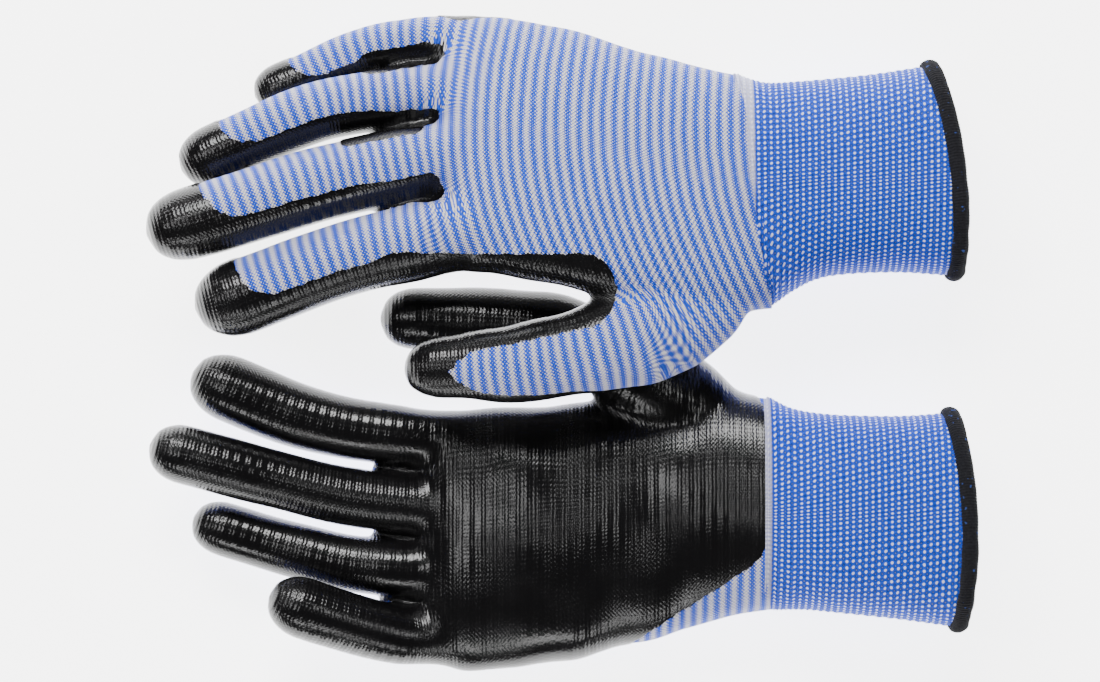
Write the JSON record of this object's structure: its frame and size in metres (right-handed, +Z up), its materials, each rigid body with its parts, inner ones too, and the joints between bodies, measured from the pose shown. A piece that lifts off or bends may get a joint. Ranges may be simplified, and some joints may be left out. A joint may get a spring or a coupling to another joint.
{
  "type": "pair of work gloves",
  "caption": "Pair of knitted work gloves with rubber-dipped palms, rib cuffs and overlocked hems; the fingers bend and the upper glove lifts off.",
  "frame": {"origin": "middle of the pair's bounding box, on the surface that it lies on", "axes": "+X from fingertips to cuffs, +Y from the lower glove to the upper glove, +Z up"},
  "size_m": [0.2469, 0.1992, 0.0565],
  "materials": {
    "knit_liner": "two-tone blue and white plain knit, matt",
    "rubber_coating": "smooth nitrile dip over knit, glossy",
    "rib_cuff": "blue elastic rib with white flecks, matt",
    "overlock_hem": "black overlock thread, matt"
  },
  "bodies": {
    "lower_glove": {"lower_hand_liner": "knit_liner", "lower_hand_coating": "rubber_coating", "lower_cuff": "rib_cuff", "lower_hem": "overlock_hem"},
    "lower_index_base": {"lower_index_base_liner": "knit_liner", "lower_index_base_coating": "rubber_coating"},
    "lower_index_tip": {"lower_index_tip_liner": "knit_liner", "lower_index_tip_coating": "rubber_coating"},
    "lower_middle_base": {"lower_middle_base_liner": "knit_liner", "lower_middle_base_coating": "rubber_coating"},
    "lower_middle_tip": {"lower_middle_tip_liner": "knit_liner", "lower_middle_tip_coating": "rubber_coating"},
    "lower_ring_base": {"lower_ring_base_liner": "knit_liner", "lower_ring_base_coating": "rubber_coating"},
    "lower_ring_tip": {"lower_ring_tip_liner": "knit_liner", "lower_ring_tip_coating": "rubber_coating"},
    "lower_little_base": {"lower_little_base_liner": "knit_liner", "lower_little_base_coating": "rubber_coating"},
    "lower_little_tip": {"lower_little_tip_liner": "knit_liner", "lower_little_tip_coating": "rubber_coating"},
    "lower_thumb_base": {"lower_thumb_base_liner": "knit_liner", "lower_thumb_base_coating": "rubber_coating"},
    "lower_thumb_tip": {"lower_thumb_tip_liner": "knit_liner", "lower_thumb_tip_coating": "rubber_coating"},
    "upper_glove": {"upper_hand_liner": "knit_liner", "upper_hand_coating": "rubber_coating", "upper_cuff": "rib_cuff", "upper_hem": "overlock_hem"},
    "upper_index_base": {"upper_index_base_liner": "knit_liner", "upper_index_base_coating": "rubber_coating"},
    "upper_index_tip": {"upper_index_tip_liner": "knit_liner", "upper_index_tip_coating": "rubber_coating"},
    "upper_middle_base": {"upper_middle_base_liner": "knit_liner", "upper_middle_base_coating": "rubber_coating"},
    "upper_middle_tip": {"upper_middle_tip_liner": "knit_liner", "upper_middle_tip_coating": "rubber_coating"},
    "upper_ring_base": {"upper_ring_base_liner": "knit_liner", "upper_ring_base_coating": "rubber_coating"},
    "upper_ring_tip": {"upper_ring_tip_liner": "knit_liner", "upper_ring_tip_coating": "rubber_coating"},
    "upper_little_base": {"upper_little_base_liner": "knit_liner", "upper_little_base_coating": "rubber_coating"},
    "upper_little_tip": {"upper_little_tip_liner": "knit_liner", "upper_little_tip_coating": "rubber_coating"},
    "upper_thumb_base": {"upper_thumb_base_liner": "knit_liner", "upper_thumb_base_coating": "rubber_coating"},
    "upper_thumb_tip": {"upper_thumb_tip_liner": "knit_liner", "upper_thumb_tip_coating": "rubber_coating"}
  },
  "joints": [
    {"name": "upper_lift", "type": "slide", "parent": "lower_glove", "child": "upper_glove", "axis": [0, 0, 1], "range_m": [0, 0.16]},
    {"name": "lower_index_root_bend", "type": "hinge", "parent": "lower_glove", "child": "lower_index_base", "pos_m": [-0.05285, -0.02791, 0.02231], "axis": [0.1267, 0.9919, 0], "range_deg": [0, 80]},
    {"name": "lower_index_middle_bend", "type": "hinge", "parent": "lower_index_base", "child": "lower_index_tip", "pos_m": [-0.07966, -0.02228, 0.02361], "axis": [0.3191, 0.9477, 0], "range_deg": [0, 90]},
    {"name": "lower_middle_root_bend", "type": "hinge", "parent": "lower_glove", "child": "lower_middle_base", "pos_m": [-0.05189, -0.04856, 0.02346], "axis": [0.1108, 0.9938, 0], "range_deg": [0, 80]},
    {"name": "lower_middle_middle_bend", "type": "hinge", "parent": "lower_middle_base", "child": "lower_middle_tip", "pos_m": [-0.08068, -0.04276, 0.02775], "axis": [0.2598, 0.9657, 0], "range_deg": [0, 90]},
    {"name": "lower_ring_root_bend", "type": "hinge", "parent": "lower_glove", "child": "lower_ring_base", "pos_m": [-0.05303, -0.06846, 0.02144], "axis": [0.0875, 0.9962, 0], "range_deg": [0, 80]},
    {"name": "lower_ring_middle_bend", "type": "hinge", "parent": "lower_ring_base", "child": "lower_ring_tip", "pos_m": [-0.08, -0.06323, 0.02055], "axis": [0.2623, 0.965, 0], "range_deg": [0, 90]},
    {"name": "lower_little_root_bend", "type": "hinge", "parent": "lower_glove", "child": "lower_little_base", "pos_m": [-0.04634, -0.08896, 0.02457], "axis": [0.1688, 0.9856, 0], "range_deg": [0, 80]},
    {"name": "lower_little_middle_bend", "type": "hinge", "parent": "lower_little_base", "child": "lower_little_tip", "pos_m": [-0.06537, -0.08405, 0.03105], "axis": [0.3176, 0.9482, 0], "range_deg": [0, 90]},
    {"name": "lower_thumb_root_bend", "type": "hinge", "parent": "lower_glove", "child": "lower_thumb_base", "pos_m": [-0.0058, 0.00479, 0.02897], "axis": [0.1573, 0.9875, 0], "range_deg": [0, 50]},
    {"name": "lower_thumb_middle_bend", "type": "hinge", "parent": "lower_thumb_base", "child": "lower_thumb_tip", "pos_m": [-0.02713, 0.00631, 0.02847], "axis": [0.0235, 0.9997, 0], "range_deg": [0, 45]},
    {"name": "upper_index_root_bend", "type": "hinge", "parent": "upper_glove", "child": "upper_index_base", "pos_m": [-0.05286, 0.0237, 0.02455], "axis": [0.2176, -0.9334, 0.2854], "range_deg": [0, 60]},
    {"name": "upper_index_middle_bend", "type": "hinge", "parent": "upper_index_base", "child": "upper_index_tip", "pos_m": [-0.0763, 0.01636, 0.02373], "axis": [0.3315, -0.9022, 0.2758], "range_deg": [0, 80]},
    {"name": "upper_middle_root_bend", "type": "hinge", "parent": "upper_glove", "child": "upper_middle_base", "pos_m": [-0.04678, 0.04906, 0.0177], "axis": [0.2227, -0.9323, 0.285], "range_deg": [0, 60]},
    {"name": "upper_middle_middle_bend", "type": "hinge", "parent": "upper_middle_base", "child": "upper_middle_tip", "pos_m": [-0.07833, 0.04116, 0.02062], "axis": [0.3098, -0.9093, 0.278], "range_deg": [0, 90]},
    {"name": "upper_ring_root_bend", "type": "hinge", "parent": "upper_glove", "child": "upper_ring_base", "pos_m": [-0.04699, 0.07038, 0.0113], "axis": [0.1305, -0.9481, 0.2899], "range_deg": [0, 60]},
    {"name": "upper_ring_middle_bend", "type": "hinge", "parent": "upper_ring_base", "child": "upper_ring_tip", "pos_m": [-0.07464, 0.06523, 0.01335], "axis": [0.3244, -0.9046, 0.2766], "range_deg": [0, 90]},
    {"name": "upper_little_root_bend", "type": "hinge", "parent": "upper_glove", "child": "upper_little_base", "pos_m": [-0.04353, 0.0879, 0.00309], "axis": [0.0925, -0.9522, 0.2911], "range_deg": [0, 60]},
    {"name": "upper_little_middle_bend", "type": "hinge", "parent": "upper_little_base", "child": "upper_little_tip", "pos_m": [-0.06457, 0.08268, 0.00113], "axis": [0.3559, -0.8937, 0.2732], "range_deg": [0, 90]},
    {"name": "upper_thumb_root_bend", "type": "hinge", "parent": "upper_glove", "child": "upper_thumb_base", "pos_m": [-0.00265, -0.00886, 0.0323], "axis": [0.1402, -0.9469, 0.2895], "range_deg": [0, 50]},
    {"name": "upper_thumb_middle_bend", "type": "hinge", "parent": "upper_thumb_base", "child": "upper_thumb_tip", "pos_m": [-0.02058, -0.0106, 0.0323], "axis": [0.0525, -0.955, 0.292], "range_deg": [0, 45]}
  ],
  "couplings": [
    {"joint": "lower_ring_root_bend", "follows": "lower_middle_root_bend", "ratio": 1},
    {"joint": "lower_ring_middle_bend", "follows": "lower_middle_middle_bend", "ratio": 1},
    {"joint": "lower_little_root_bend", "follows": "lower_middle_root_bend", "ratio": 1},
    {"joint": "lower_little_middle_bend", "follows": "lower_middle_middle_bend", "ratio": 1},
    {"joint": "lower_thumb_root_bend", "follows": "upper_lift", "rad_per_m": 5.454},
    {"joint": "lower_thumb_middle_bend", "follows": "upper_lift", "rad_per_m": 4.908},
    {"joint": "upper_index_root_bend", "follows": "upper_lift", "rad_per_m": 6.544},
    {"joint": "upper_index_middle_bend", "follows": "upper_lift", "rad_per_m": 8.726},
    {"joint": "upper_ring_root_bend", "follows": "upper_middle_root_bend", "ratio": 1},
    {"joint": "upper_ring_middle_bend", "follows": "upper_middle_middle_bend", "ratio": 1},
    {"joint": "upper_little_root_bend", "follows": "upper_middle_root_bend", "ratio": 1},
    {"joint": "upper_little_middle_bend", "follows": "upper_middle_middle_bend", "ratio": 1},
    {"joint": "upper_thumb_root_bend", "follows": "upper_lift", "rad_per_m": 5.454},
    {"joint": "upper_thumb_middle_bend", "follows": "upper_lift", "rad_per_m": 4.908}
  ]
}
